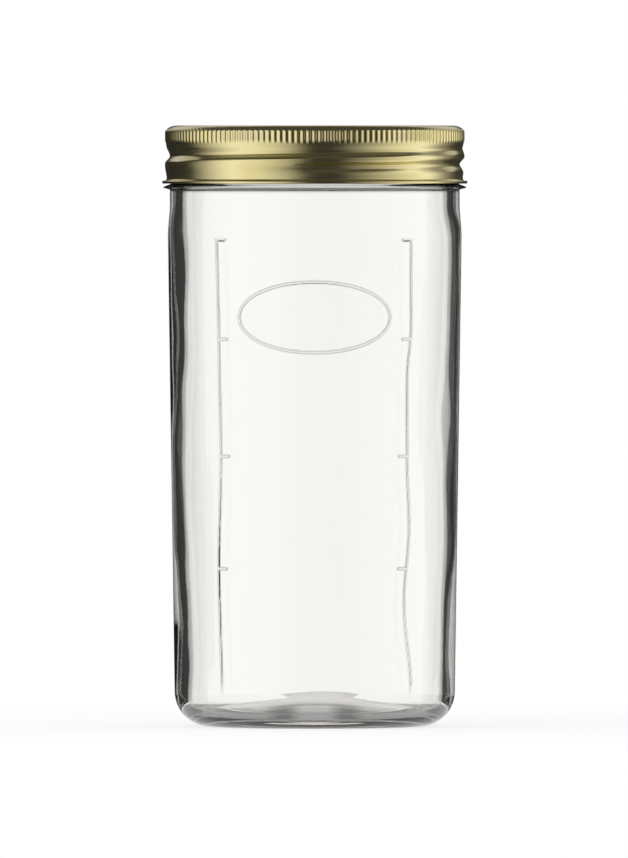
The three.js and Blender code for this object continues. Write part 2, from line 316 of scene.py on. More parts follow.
def groove_share(degrees, z):
    """Share of the groove's depth: creased in its middle and soft at its edges."""
    most = 0.0
    round_end = math.hypot(1, GROOVE_CREASE) - GROOVE_CREASE
    for angle, over in turns_past(degrees, z):
        flank = groove_flank(angle, over, z)
        if abs(over) < flank:
            away = (math.hypot(over / flank, GROOVE_CREASE) - GROOVE_CREASE) / round_end
            share = (1 - away) ** GROOVE_SHARPNESS
            most = max(most, share * runout(angle, GROOVE_START, GROOVE_SWEEP, GROOVE_RUNIN, GROOVE_RUNOUT))
    return most


# Glass jar
OUTSIDE = 1
INSIDE = 2
FRONT_SECTOR = (96, 12, 18)
BACK_SECTOR = (264, 10, 7)
COARSE_ROW = 3.2 * MM
MARK_ROW = 0.33 * MM
# Painted shade over the bead, fading in below it.
BEAD_SHADE = 0.55
BEAD_SHADE_REACH = 1.3 * MM
OVAL_ROW = 0.3 * MM


def from_front(degrees):
    """Signed angle from the front of the jar, in degrees."""
    return (degrees - FRONT + 180) % 360 - 180


def side_line_angle(z, line):
    """Angle from the front at a height, eased between the line's (height in mm, angle) places."""
    height = min(max(z / MM, line[0][0]), line[-1][0])
    for (low, from_angle), (high, to_angle) in zip(line, line[1:]):
        if height <= high:
            break
    return from_angle + (to_angle - from_angle) * smooth(height, low, high)


def mark_share(degrees, z):
    """Share of the raised marks' height: two upright side lines with ticks, and a plain oval outline."""
    angle = from_front(degrees)
    if abs(angle) > FRONT_SECTOR[0] / 2:
        return 0.0
    across = math.radians(abs(angle)) * BODY_TOP_RADIUS
    line = math.radians(side_line_angle(z, LEFT_LINE if angle < 0 else RIGHT_LINE)) * BODY_TOP_RADIUS
    past_line_end = max(z - SIDE_LINE_TOP_Z, SIDE_LINE_BOTTOM_Z - z, 0.0)
    most = ridge(math.hypot(across - line, past_line_end), MARK_WIDTH)
    for tick_z in TICK_HEIGHTS:
        past_tick_end = max(line - TICK_LENGTH - across, across - line, 0.0)
        most = max(most, ridge(math.hypot(z - tick_z, past_tick_end), MARK_WIDTH))
    oval_x = across / OVAL_HALF_WIDTH
    oval_z = (z - OVAL_Z) / OVAL_HALF_HEIGHT
    reach = math.hypot(oval_x, oval_z)
    if reach > 0:
        slope = math.hypot(oval_x / OVAL_HALF_WIDTH, oval_z / OVAL_HALF_HEIGHT) / reach
        most = max(most, ridge((reach - 1) / slope, MARK_WIDTH))
    return most


def glass_outside(degrees, z):
    if z > BEAD_TOP_Z:
        return THREAD_DEPTH * thread_share(degrees, z)
    return MARK_HEIGHT * mark_share(degrees, z)


def glass_inside(degrees, z):
    """Slow wander and small ripples of the blown wall, none at the moulded mouth and floor."""
    free = smooth(z, HEEL_RADIUS / 2, 2 * HEEL_RADIUS) * (1 - smooth(z, SHOULDER_Z, NECK_Z))
    x = math.cos(math.radians(degrees))
    y = math.sin(math.radians(degrees))
    wander_up = z / WALL_WANDER_HEIGHT + WANDER_START
    ripple_up = z / WALL_RIPPLE_HEIGHT + RIPPLE_START
    wander = noise.noise(Vector((WANDER_AROUND * x, WANDER_AROUND * y, wander_up)))
    ripple = noise.noise(Vector((RIPPLE_AROUND * x, RIPPLE_AROUND * y, ripple_up)))
    return free * (WALL_WANDER * wander + WALL_RIPPLE * ripple)


def wall_heights(low, high):
    """Row heights of the outer wall, close together where raised marks need them."""
    fine = [(z - MARK_WIDTH, z + MARK_WIDTH, MARK_ROW) for z in TICK_HEIGHTS]
    reach = OVAL_HALF_HEIGHT + MARK_WIDTH
    fine.append((OVAL_Z - reach, OVAL_Z + reach, OVAL_ROW))
    heights = []
    z = low
    while z < high - MARK_ROW:
        heights.append(z)
        steps = [row for start, end, row in fine if start <= z < end]
        next_fine = [start - z for start, end, row in fine if start > z]
        step = min(steps) if steps else min([COARSE_ROW] + next_fine)
        z += max(step, MARK_ROW)
    return heights


def wall_radius(z):
    """Radius of the tapered outer wall."""
    share = (z - HEEL_RADIUS) / (SHOULDER_Z - HEEL_RADIUS)
    return BODY_BASE_RADIUS + (BODY_TOP_RADIUS - BODY_BASE_RADIUS) * share


def jar_mesh():
    bead_tip = (BEAD_RADIUS, BEAD_TOP_Z - BEAD_TIP_DROP)
    round_z = RIM_Z - RIM_ROUND
    inner_top = BODY_TOP_RADIUS - BODY_WALL
    inner_base = BODY_BASE_RADIUS - BODY_WALL
    inner_floor = inner_base - INNER_HEEL
    inner_heel_z = BASE_THICKNESS + INNER_HEEL
    base = push_up(BEARING_RADIUS - BEARING_WIDTH, 0, PUSH_UP, 16)
    heel = arc((BEARING_RADIUS, HEEL_RADIUS), HEEL_RADIUS, -90, 0, 14)
    wall = [(wall_radius(z), z) for z in wall_heights(HEEL_RADIUS, SHOULDER_Z)[1:]]
    shoulder = ease((BODY_TOP_RADIUS, SHOULDER_Z), (NECK_RADIUS, NECK_Z), 10)
    neck = run(shoulder[-1], (NECK_RADIUS, BEAD_BOTTOM_Z), 10)
    bead = ease((NECK_RADIUS, BEAD_BOTTOM_Z), bead_tip, 12)
    bead += ease(bead_tip, (FINISH_RADIUS, BEAD_TOP_Z), 12)[1:]
    finish = run(bead[-1], (FINISH_RADIUS, round_z), 28)
    rim = arc((FINISH_RADIUS - RIM_ROUND, round_z), RIM_ROUND, 0, 90, 5)
    rim += arc((BORE_RADIUS + RIM_ROUND, round_z), RIM_ROUND, 90, 180, 5)
    mouth = run(rim[-1], (BORE_RADIUS, NECK_Z), 5)
    inner_shoulder = ease((BORE_RADIUS, NECK_Z), (inner_top, SHOULDER_Z), 8)
    inner_wall = run((inner_top, SHOULDER_Z), (inner_base, inner_heel_z), 32)
    inner_heel = arc((inner_floor, inner_heel_z), INNER_HEEL, 0, -90, 12)
    floor = push_up(inner_floor, BASE_THICKNESS, FLOOR_RISE, 18)[::-1][1:]
    ring = run(base[-1], heel[0], 4)
    outer = base + ring + heel + wall + shoulder + neck + bead + finish
    inner = mouth + inner_shoulder + inner_wall + inner_heel + floor
    outline = outer + rim + inner
    skins = [OUTSIDE] * len(outer) + [0] * len(rim) + [INSIDE] * len(inner)
    mesh, skin_layer = turned(outline, skins, False, (FRONT_SECTOR, BACK_SECTOR))
    # Painted shade kept on the vertices: darker glass along the flanks of raised marks and over the bead.
    shade_layer = mesh.verts.layers.float.new("shade")
    for vert in mesh.verts:
        if vert[skin_layer] == OUTSIDE and vert.co.z < BEAD_TOP_Z:
            share = mark_share(math.degrees(math.atan2(vert.co.y, vert.co.x)), vert.co.z)
            at_bead = BEAD_SHADE * smooth(vert.co.z, BEAD_BOTTOM_Z - BEAD_SHADE_REACH, BEAD_BOTTOM_Z)
            vert[shade_layer] = max(4 * share * (1 - share), at_bead)
    push_out(mesh, skin_layer, {OUTSIDE: glass_outside, INSIDE: glass_inside})
    return mesh


# Screw band
KNURLED = 1
GROOVED = 2
GROOVED_INSIDE = 3
COLUMNS_PER_KNURL = 6
KNURLS_PER_STRIP = 4
BAND_TURN = (360, KNURL_COUNT // KNURLS_PER_STRIP, KNURLS_PER_STRIP * COLUMNS_PER_KNURL)


def knurl_push(degrees, z):
    """Rounded upright ribs that die away at both ends."""
    ends = smooth(z, KNURL_BOTTOM_Z, KNURL_BOTTOM_Z + KNURL_FADE)
    ends *= 1 - smooth(z, KNURL_TOP_Z, KNURL_TOP_Z + KNURL_FADE)
    return KNURL_DEPTH * ends * (0.5 + 0.5 * math.cos(math.radians(degrees) * KNURL_COUNT))


def wall_inset(z):
    """How far the band's wall lies inside its full radius, without its groove."""
    under_knurl = KNURL_DEPTH * smooth(z, KNURL_BOTTOM_Z - KNURL_EASE, KNURL_BOTTOM_Z)
    at_foot = FOOT_TAPER * (1 - smooth(z, BAND_FOOT_Z, BAND_FOOT_Z + FOOT_EASE))
    return under_knurl + at_foot


def groove_push(degrees, z):
    """The rolled groove, which draws the wall in under the glass thread."""
    return (wall_inset(z) - GROOVE_DEPTH) * groove_share(degrees, z)


def band_corner(inset):
    """The rounded edge between the band's top and its knurl, wider than it is tall."""
    centre = KNURL_ROOT_RADIUS - CORNER_REACH
    unit = arc((0, 0), 1, 90, 0, 8)
    reach, height = CORNER_REACH - inset, BAND_CORNER - inset
    return [(centre + reach * x, KNURL_TOP_Z + height * y) for x, y in unit]


def band_mesh():
    lip = (LIP_OUTER_RADIUS - LIP_ROUND, BAND_BOTTOM_Z + LIP_ROUND - LIP_DROP / 2)
    lip_height = LIP_ROUND + LIP_DROP / 2
    half_round = arc((0, 0), 1, 90, -90, 6)
    roll = [(lip[0] + LIP_ROUND * x, lip[1] + lip_height * y) for x, y in half_round]
    flare = (BAND_FOOT_RADIUS + LIP_FLARE, BAND_FOOT_Z)
    hem = (WINDOW_RADIUS + HEM_RADIUS, BAND_TOP_Z - HEM_RADIUS)
    hem_reach = math.sqrt(HEM_RADIUS**2 - (HEM_RADIUS - BAND_SHEET) ** 2)
    top_corner = band_corner(0)
    knurl_root = (KNURL_ROOT_RADIUS, KNURL_BOTTOM_Z)
    knurl = run(top_corner[-1], knurl_root, 9) + [knurl_root]
    heights = [place[1] for place in run((0, KNURL_BOTTOM_Z), (0, BAND_FOOT_Z), 34)]
    wall = [(BAND_RADIUS - wall_inset(z), z) for z in heights]
    flared_lip = arc(flare, LIP_FLARE, 180, 270, 7) + roll
    inner_foot = [(BAND_FOOT_RADIUS - BAND_SHEET, BAND_BOTTOM_Z)]
    inner_wall = [(BAND_RADIUS - wall_inset(z) - BAND_SHEET, z) for z in heights[::-2]]
    inner_knurl = [(KNURL_ROOT_RADIUS - BAND_SHEET, KNURL_BOTTOM_Z)]
    inner_corner = band_corner(BAND_SHEET)[::-2]
    hem_roll = [(hem[0] + hem_reach, BAND_TOP_Z - BAND_SHEET)] + arc(hem, HEM_RADIUS, -90, -270, 8)
    knurled = top_corner + knurl
    lower = inner_knurl + inner_corner + hem_roll
    outline = knurled + wall + flared_lip + inner_foot + inner_wall + lower
    skins = [KNURLED] * len(knurled) + [GROOVED] * len(wall)
    skins += [0] * (len(flared_lip) + 1) + [GROOVED_INSIDE] * len(inner_wall) + [0] * len(lower)
    mesh, skin_layer = turned(outline, skins, True, (BAND_TURN,))
    push_out(mesh, skin_layer, {KNURLED: knurl_push, GROOVED: groove_push, GROOVED_INSIDE: groove_push})
    return mesh


# Disc and seal
ROUND_TURN = (360, 16, 18)
ENAMELLED = 4
SLOPE_SHARES = (0, 0.2, 0.4, 0.6, 0.8, 1)


def disc_mesh():
    panel_z = DISC_TOP_Z - DISC_PANEL_DROP
    lip_z = DISC_TOP_Z - DISC_EDGE_ROUND - DISC_LIP
    edge = (DISC_RADIUS - DISC_EDGE_ROUND, DISC_TOP_Z - DISC_EDGE_ROUND)

    def pressed(lowered, inset):
        """One side of the sheet from the axis out to the turned-down edge."""
        raised = panel_z + DISC_CENTRE_RISE - lowered
        slope = [
            (DISC_CENTRE_RADIUS + DISC_CENTRE_SLOPE * s, raised - DISC_CENTRE_RISE * smooth(s, 0, 1))
            for s in SLOPE_SHARES
        ]
        side = [
            (
                DISC_PANEL_RADIUS + inset + DISC_WALL_SLOPE * s,
                panel_z - lowered + DISC_PANEL_DROP * smooth(s, 0, 1),
            )
            for s in SLOPE_SHARES
        ]
        edge_arc = arc(edge, DISC_EDGE_ROUND - lowered, 90, 0, 6)
        return [(0, raised)] + slope + side + edge_arc + [(DISC_RADIUS - lowered, lip_z)]

    top = pressed(0, 0)
    underside = pressed(DISC_SHEET, DISC_SHEET)
    outline = top + underside[::-1]
    skins = [0] * len(top) + [ENAMELLED] * len(underside)
    return turned(outline, skins, False, (ROUND_TURN,))[0]


def seal_mesh():
    low_z, high_z = seal_low[2], seal_high[2]
    inner, outer = SEAL_INNER_RADIUS + SEAL_ROUND, SEAL_RADIUS - SEAL_ROUND
    outline = arc((outer, low_z + SEAL_ROUND), SEAL_ROUND, -90, 0, 3)
    outline += arc((outer, high_z - SEAL_ROUND), SEAL_ROUND, 0, 90, 3)
    outline += arc((inner, high_z - SEAL_ROUND), SEAL_ROUND, 90, 180, 3)
    outline += arc((inner, low_z + SEAL_ROUND), SEAL_ROUND, 180, 270, 3)
    return turned(outline, [0] * len(outline), True, (ROUND_TURN,))[0]


# Materials
GOLD_PALE = (0.80, 0.71, 0.39, 1)
GOLD_DEEP = (0.74, 0.64, 0.30, 1)
BARE_TINPLATE = ((0.82, 0.80, 0.77, 1), 1.0)
BUFF_ENAMEL = ((0.50, 0.485, 0.43, 1), 0.0)
BAND_SHINE = 1.0
DISC_SHINE = 0.6
LACQUER_BUMP = 0.02 * MM
GLASS_FACING = (0.985, 0.985, 0.98, 1)
# Painted shade: the glass's tint at grazing edges.
GLASS_EDGE_SHADE = (0.28, 0.27, 0.245, 1)
# Painted shade: the glass's tint after a reflection inside it.
GLASS_REFLECTED_SHADE = (0.94, 0.935, 0.915, 1)
# Painted shade: the glass's tint on raised-mark flanks and over the bead.
GLASS_SHADED = (0.26, 0.26, 0.25, 1)
GLASS_SHADOW = (0.9, 0.9, 0.89, 1)
GLASS_DEPTH = (0.9, 0.87, 0.82, 1)
GLASS_BUMP = 0.15 * MM
SEAL_DARK = (0.74, 0.72, 0.67, 1)
SEAL_PALE = (0.84, 0.82, 0.77, 1)
SEAL_BUMP = 0.05 * MM


def new_material(name):
    material = bpy.data.materials.new(name)
    material.use_nodes = True
    nodes = material.node_tree.nodes
    return material, nodes, material.node_tree.links, nodes["Principled BSDF"]


def set_inputs(node, **values):
    """Sets sockets by name, with underscores for spaces."""
    for name, value in values.items():
        node.inputs[name.replace("_", " ")].default_value = value
    return node


def feed(links, socket, given):
    """Links an input to an output, or gives it a plain value."""
    if isinstance(given, bpy.types.NodeSocket):
        links.new(given, socket)
    else:
        socket.default_value = given


def worked_out(nodes, links, operation, *given):
    """What a Math node makes of sockets or plain numbers."""
    node = nodes.new("ShaderNodeMath")
    node.operation = operation
    for socket, value in zip(node.inputs, given):
        feed(links, socket, value)
    return node.outputs["Value"]


def mapped(nodes, links, value, **limits):
    """A value carried over from one range to another."""
    node = set_inputs(nodes.new("ShaderNodeMapRange"), **limits)
    links.new(value, node.inputs["Value"])
    return node.outputs["Result"]


def mixed_colour(nodes, links, factor, first, second):
    """A mix of two colours by a factor; each colour is a socket or a plain colour."""
    mix = nodes.new("ShaderNodeMix")
    mix.data_type = "RGBA"
    links.new(factor, mix.inputs["Factor"])
    colours = [socket for socket in mix.inputs if socket.type == "RGBA"]
    for socket, given in zip(colours, (first, second)):
        feed(links, socket, given)
    return next(socket for socket in mix.outputs if socket.type == "RGBA")


def mixed_shader(nodes, links, factor, first, second):
    """A mix of two shaders by a factor."""
    mix = nodes.new("ShaderNodeMixShader")
    links.new(factor, mix.inputs["Fac"])
    links.new(first, mix.inputs[1])
    links.new(second, mix.inputs[2])
    return mix.outputs["Shader"]


def attribute(nodes, name):
    """A value kept on the mesh's vertices."""
    node = nodes.new("ShaderNodeAttribute")
    node.attribute_name = name
    return node.outputs["Fac"]


def noise_in_place(nodes, links, **values):
    """Noise by place in the object's own space."""
    place = nodes.new("ShaderNodeTexCoord")
    texture = set_inputs(nodes.new("ShaderNodeTexNoise"), **values)
    links.new(place.outputs["Object"], texture.inputs["Vector"])
    return texture


def bumped(nodes, links, shader, height, strength, distance):
    """Gives a shader a small bump; returns the bumped normal."""
    bump = set_inputs(nodes.new("ShaderNodeBump"), Strength=strength, Distance=distance)
    links.new(height, bump.inputs["Height"])
    links.new(bump.outputs["Normal"], shader.inputs["Normal"])
    return bump.outputs["Normal"]


def lacquer_group():
    """Tone, roughness and height of lacquer over rolled tinplate: fine turned lines and clouding."""
    group = bpy.data.node_groups.new("lacquer_over_tinplate", "ShaderNodeTree")
    group.interface.new_socket("Line Scale", in_out="INPUT", socket_type="NodeSocketVector")
    group.interface.new_socket("Cloud Scale", in_out="INPUT", socket_type="NodeSocketFloat")
    for output in ("Tone", "Roughness", "Height"):
        group.interface.new_socket(output, in_out="OUTPUT", socket_type="NodeSocketFloat")
    nodes, links = group.nodes, group.links
    given = nodes.new("NodeGroupInput")
    made = nodes.new("NodeGroupOutput")
    place = nodes.new("ShaderNodeTexCoord")
    stretch = nodes.new("ShaderNodeVectorMath")
    stretch.operation = "MULTIPLY"
    links.new(place.outputs["Object"], stretch.inputs[0])
    links.new(given.outputs["Line Scale"], stretch.inputs[1])
    lines = set_inputs(nodes.new("ShaderNodeTexNoise"), Scale=1.0, Detail=3.0, Roughness=0.6)
    links.new(stretch.outputs["Vector"], lines.inputs["Vector"])
    clouds = noise_in_place(nodes, links, Detail=4.0, Roughness=0.55)
    links.new(given.outputs["Cloud Scale"], clouds.inputs["Scale"])
    tone = mapped(nodes, links, clouds.outputs["Fac"], From_Min=0.3, From_Max=0.7)
    limits = {"From_Min": 0.3, "From_Max": 0.7, "To_Min": 0.17, "To_Max": 0.27}
    rough = mapped(nodes, links, lines.outputs["Fac"], **limits)
    links.new(tone, made.inputs["Tone"])
    links.new(rough, made.inputs["Roughness"])
    links.new(lines.outputs["Fac"], made.inputs["Height"])
    return group


def lacquer_material(name, group, shine, inside, line_scale, cloud_scale, bump_strength):
    """Gold lacquered tinplate with a clear top coat, and another finish inside, as marked by its skin."""
    material, nodes, links, shader = new_material(name)
    metal = nodes.new("ShaderNodeGroup")
    metal.node_tree = group
    set_inputs(metal, Line_Scale=line_scale, Cloud_Scale=cloud_scale)
    inside_colour, inside_shine = inside
    gold = mixed_colour(nodes, links, metal.outputs["Tone"], GOLD_DEEP, GOLD_PALE)
    is_inside = worked_out(nodes, links, "GREATER_THAN", attribute(nodes, "skin"), GROOVED)
    links.new(mixed_colour(nodes, links, is_inside, gold, inside_colour), shader.inputs["Base Color"])
    if inside_shine == shine:
        set_inputs(shader, Metallic=shine)
    else:
        metallic = mapped(nodes, links, is_inside, To_Min=shine, To_Max=inside_shine)
        links.new(metallic, shader.inputs["Metallic"])
    links.new(metal.outputs["Roughness"], shader.inputs["Roughness"])
    bumped(nodes, links, shader, metal.outputs["Height"], bump_strength, LACQUER_BUMP)
    set_inputs(shader, Coat_Weight=0.25, Coat_Roughness=0.16)
    return material


def glass_material():
    """Clear soda-lime glass, faintly warm in the thick, with a slightly uneven moulded skin and painted
    shade at grazing edges, after reflections, on mark flanks and over the bead.
    """
    material, nodes, links, shader = new_material("clear_moulded_glass")
    skin = noise_in_place(nodes, links, Scale=45.0, Detail=2.0, Roughness=0.4)
    normal = bumped(nodes, links, shader, skin.outputs["Fac"], 0.25, GLASS_BUMP)
    set_inputs(shader, Roughness=0.0, IOR=1.52, Transmission_Weight=1.0)
    # Painted shade: darker glass where its surface is seen at a grazing angle.
    grazing = set_inputs(nodes.new("ShaderNodeLayerWeight"), Blend=0.5)
    links.new(normal, grazing.inputs["Normal"])
    tint = nodes.new("ShaderNodeValToRGB")
    facing, edge = tint.color_ramp.elements
    facing.position = 0.55
    facing.color = GLASS_FACING
    edge.position = 0.95
    edge.color = GLASS_EDGE_SHADE
    links.new(grazing.outputs["Facing"], tint.inputs["Fac"])
    path = nodes.new("ShaderNodeLightPath")
    # Painted shade: darker glass once a ray has been reflected.
    mirrored = worked_out(nodes, links, "MINIMUM", path.outputs["Glossy Depth"], 1.0)
    through = mixed_colour(nodes, links, mirrored, tint.outputs["Color"], GLASS_REFLECTED_SHADE)
    # Painted shade from the vertices' shade attribute.
    colour = mixed_colour(nodes, links, attribute(nodes, "shade"), through, GLASS_SHADED)
    links.new(colour, shader.inputs["Base Color"])
    clear = set_inputs(nodes.new("ShaderNodeBsdfTransparent"), Color=GLASS_SHADOW)
    in_shadow = path.outputs["Is Shadow Ray"]
    surface = mixed_shader(nodes, links, in_shadow, shader.outputs["BSDF"], clear.outputs["BSDF"])
    output = nodes["Material Output"]
    links.new(surface, output.inputs["Surface"])
    inside = set_inputs(nodes.new("ShaderNodeVolumeAbsorption"), Color=GLASS_DEPTH, Density=20.0)
    links.new(inside.outputs["Volume"], output.inputs["Volume"])
    return material


def seal_material():
    """Flowed-in sealing compound, matt and slightly mottled."""
    material, nodes, links, shader = new_material("sealing_compound")
    mottle = noise_in_place(nodes, links, Scale=260.0, Detail=3.0)
    colour = mixed_colour(nodes, links, mottle.outputs["Fac"], SEAL_DARK, SEAL_PALE)
    links.new(colour, shader.inputs["Base Color"])
    bumped(nodes, links, shader, mottle.outputs["Fac"], 0.3, SEAL_BUMP)
    set_inputs(shader, Roughness=0.55)
    return material


lacquer = lacquer_group()
band_gold = lacquer_material(
    "gold_lacquer",
    lacquer,
    BAND_SHINE,
    BARE_TINPLATE,
    line_scale=(60, 60, 2600),
    cloud_scale=55.0,
    bump_strength=0.35,
)
disc_gold = lacquer_material(
    "disc_lacquer",
    lacquer,
    DISC_SHINE,
    BUFF_ENAMEL,
    line_scale=(900, 900, 60),
    cloud_scale=40.0,
    bump_strength=0.25,
)
finished(jar_mesh(), "moulded_jar", glass_material(), "jar", "glass_jar")
finished(disc_mesh(), "pressed_disc", disc_gold, "lid", "lid_disc")
finished(seal_mesh(), "flowed_seal", seal_material(), "lid", "sealing_ring")
finished(band_mesh(), "rolled_band", band_gold, "band", "screw_band")


# Studio: pale floor, white surround, soft lamps, and cards that only metal or only glass sees
FLOOR_HALF = 12.0
FLOOR_COLOUR = (0.92, 0.92, 0.92, 1)
SHADOW_SHARE = 0.3
SHADOW_REACH = 0.4
SHADE_REACH = 120 * MM
# Painted shade of the floor near the jar, seen only through the glass.
SHADE_UNDER_GLASS = (
    (0, 0.65),
    (17 * MM, 0.62),
    (24 * MM, 0.5),
    (29 * MM, 0.32),
    (36 * MM, 0.38),
    (50 * MM, 0.42),
    (62 * MM, 0.6),
    (85 * MM, 1.0),
)
SHADE_ACROSS = (
    (0, 1.0),
    (4 * MM, 1.0),
    (9 * MM, 0.42),
    (12 * MM, 0.42),
    (17 * MM, 0.85),
    (39 * MM, 0.85),
    (43 * MM, 0.3),
    (72 * MM, 0.3),
    (90 * MM, 1.0),
)
DIFFUSE_WORLD = 0.75

# Cards; angles in degrees from the camera's side towards +X
FULL_TURN = (0, 360)
CARD_STEPS = 72
DARK_CARD = 0.05
THROUGH_ONE_WALL = 3
SURROUND_START = 0.055
SURROUND_RADIUS = 1.3
SURROUND_TOP = 1.2
SURROUND_GLOW = (
    (-180, 0.02),
    (-110, 0.03),
    (-84, 0.75),
    (-68, 1.15),
    (-40, 0.95),
    (-22, 0.6),
    (-6, 0.035),
    (20, 0.035),
    (45, 0.4),
    (75, 0.95),
    (98, 1.25),
    (118, 0.35),
    (138, 0.04),
    (180, 0.02),
)
OVERHEAD_RADIUS = 1.25
OVERHEAD_Z = 1.3
OVERHEAD_GLOW = 0.07
# A dark card on the floor round the jar, seen only in the metal: painted shade.
NEAR_FLOOR_REACH = 0.12
NEAR_FLOOR_Z = 2 * MM
REAR_LIGHT_SWEEP = (132, 228)
REAR_LIGHT_RADIUS = 1.28
REAR_LIGHT_LOW = 0.5
REAR_LIGHT_HIGH = 1.18
REAR_LIGHT_GLOW = 0.6
GLASS_LEFT_SWEEP = (-157, -125)
GLASS_RIGHT_SWEEP = (125, 155)
GLASS_CARD_START = 0.075
GLASS_CARD_RADIUS = 0.35
GLASS_CARD_TOP = 0.5
SKY_CARD_RADIUS = 0.6
SKY_CARD_LOW = 0.5
SKY_CARD_HIGH = 1.0


def seen_directly(nodes, links):
    """1 for rays from the camera, mirrored in metal or passed by glass, 0 for the rest."""
    path = nodes.new("ShaderNodeLightPath")
    total = path.outputs["Is Camera Ray"]
    for name in ("Is Glossy Ray", "Is Transmission Ray"):
        total = worked_out(nodes, links, "MAXIMUM", total, path.outputs[name])
    return total


def ramp_by_stops(nodes, links, value, stops, low, high):
    """Brightness along stops of (place, brightness), for a value between low and high."""
    ramp = nodes.new("ShaderNodeValToRGB")
    elements = ramp.color_ramp.elements
    while len(elements) < len(stops):
        elements.new(1.0)
    for element, (place, brightness) in zip(elements, stops):
        element.position = (place - low) / (high - low)
        element.color = (brightness, brightness, brightness, 1)
    links.new(mapped(nodes, links, value, From_Min=low, From_Max=high), ramp.inputs["Fac"])
    return ramp.outputs["Color"]


def white_world():
    world = bpy.data.worlds.new("white_surround")
    world.use_nodes = True
    bpy.context.scene.world = world
    nodes, links = world.node_tree.nodes, world.node_tree.links
    background = nodes["Background"]
    background.inputs["Color"].default_value = (1, 1, 1, 1)
    strength = mapped(nodes, links, seen_directly(nodes, links), To_Min=DIFFUSE_WORLD)
    links.new(strength, background.inputs["Strength"])


def shade_through_glass(nodes, links, place, reach):
    """Painted shade: brightness of the floor seen through the jar, by distance from the axis and, near it,
    sideways.
    """
    axes = nodes.new("ShaderNodeSeparateXYZ")
    links.new(place, axes.inputs["Vector"])
    sideways = worked_out(nodes, links, "ABSOLUTE", axes.outputs["X"])
    across = ramp_by_stops(nodes, links, sideways, SHADE_ACROSS, 0, SHADE_REACH)
    fade_start, fade_end = SHADE_UNDER_GLASS[-2][0], SHADE_UNDER_GLASS[-1][0]
    beyond = mapped(nodes, links, reach, From_Min=fade_start, From_Max=fade_end)
    near_axis = worked_out(nodes, links, "MAXIMUM", across, beyond)
    outward = ramp_by_stops(nodes, links, reach, SHADE_UNDER_GLASS, 0, SHADE_REACH)
    return worked_out(nodes, links, "MULTIPLY", outward, near_axis)


def pale_floor():
    """White to the camera, with a share of plain floor near the jar that keeps its shadow, and painted
    shade where it is seen through the glass.
    """
    mesh = bmesh.new()
    bmesh.ops.create_grid(mesh, x_segments=1, y_segments=1, size=FLOOR_HALF)
    data = bpy.data.meshes.new("floor")
    mesh.to_mesh(data)
    mesh.free()
    floor = bpy.data.objects.new("floor", data)
    bpy.context.collection.objects.link(floor)
    material, nodes, links, shader = new_material("pale_floor")
    set_inputs(shader, Base_Color=FLOOR_COLOUR, Roughness=0.9, Specular_IOR_Level=0.0)
    white = set_inputs(nodes.new("ShaderNodeEmission"), Color=(1, 1, 1, 1))
    place = nodes.new("ShaderNodeTexCoord").outputs["Object"]
    distance = nodes.new("ShaderNodeVectorMath")
    distance.operation = "LENGTH"
    links.new(place, distance.inputs[0])
    reach = distance.outputs["Value"]
    far = nodes.new("ShaderNodeMapRange")
    far.interpolation_type = "SMOOTHSTEP"
    set_inputs(far, From_Max=SHADOW_REACH, To_Min=1 - SHADOW_SHARE)
    links.new(reach, far.inputs["Value"])
    direct = seen_directly(nodes, links)
    share = worked_out(nodes, links, "MULTIPLY", far.outputs["Result"], direct)
    # Through the glass the floor is all emission, darkened by the painted shade.
    through_glass = nodes.new("ShaderNodeLightPath").outputs["Is Transmission Ray"]
    white_share = worked_out(nodes, links, "MAXIMUM", share, through_glass)
    brightness = set_inputs(nodes.new("ShaderNodeMix"), A=1.0)
    links.new(through_glass, brightness.inputs["Factor"])
    links.new(shade_through_glass(nodes, links, place, reach), brightness.inputs["B"])
    links.new(brightness.outputs["Result"], white.inputs["Strength"])
    surface = mixed_shader(nodes, links, white_share, shader.outputs["BSDF"], white.outputs["Emission"])
    links.new(surface, nodes["Material Output"].inputs["Surface"])
    data.materials.append(material)


def edges_only(nodes, links, surface):
    """Lets rays by that went straight through both walls, so that only the glass's edges show a card."""
    path = nodes.new("ShaderNodeLightPath")
    depth = path.outputs["Transmission Depth"]
    one_wall = worked_out(nodes, links, "LESS_THAN", depth, THROUGH_ONE_WALL)
    seen = worked_out(nodes, links, "MAXIMUM", one_wall, path.outputs["Glossy Depth"])
    clear = nodes.new("ShaderNodeBsdfTransparent")
    return mixed_shader(nodes, links, seen, clear.outputs["BSDF"], surface)


def card(name, outline, sweep, for_glass, strength):
    """A card swept round the jar from an outline of (radius, height) points.

    Rays from the camera never meet it: glass alone shows it, or else metal alone.
    Returns its nodes, links and glow.
    """
    start, end = sweep
    mesh = bmesh.new()
    angle = math.radians(FRONT + start)
    points = [mesh.verts.new((r * math.cos(angle), r * math.sin(angle), z)) for r, z in outline]
    edges = [mesh.edges.new(pair) for pair in zip(points, points[1:])]
    bmesh.ops.spin(
        mesh,
        geom=points + edges,
        cent=(0, 0, 0),
        axis=(0, 0, 1),
        angle=math.radians(end - start),
        steps=CARD_STEPS,
        use_merge=sweep == FULL_TURN,
        use_duplicate=False,
    )
    data = bpy.data.meshes.new(name)
    mesh.to_mesh(data)
    mesh.free()
    material, nodes, links, _ = new_material(name)
    glow = set_inputs(nodes.new("ShaderNodeEmission"), Color=(1, 1, 1, 1), Strength=strength)
    surface = glow.outputs["Emission"]
    if for_glass:
        surface = edges_only(nodes, links, surface)
    links.new(surface, nodes["Material Output"].inputs["Surface"])
    data.materials.append(material)
    panel = bpy.data.objects.new(name, data)
    bpy.context.collection.objects.link(panel)
    panel.visible_camera = False
    panel.visible_diffuse = False
    panel.visible_shadow = False
    panel.visible_glossy = not for_glass
    panel.visible_transmission = for_glass
    return nodes, links, glow


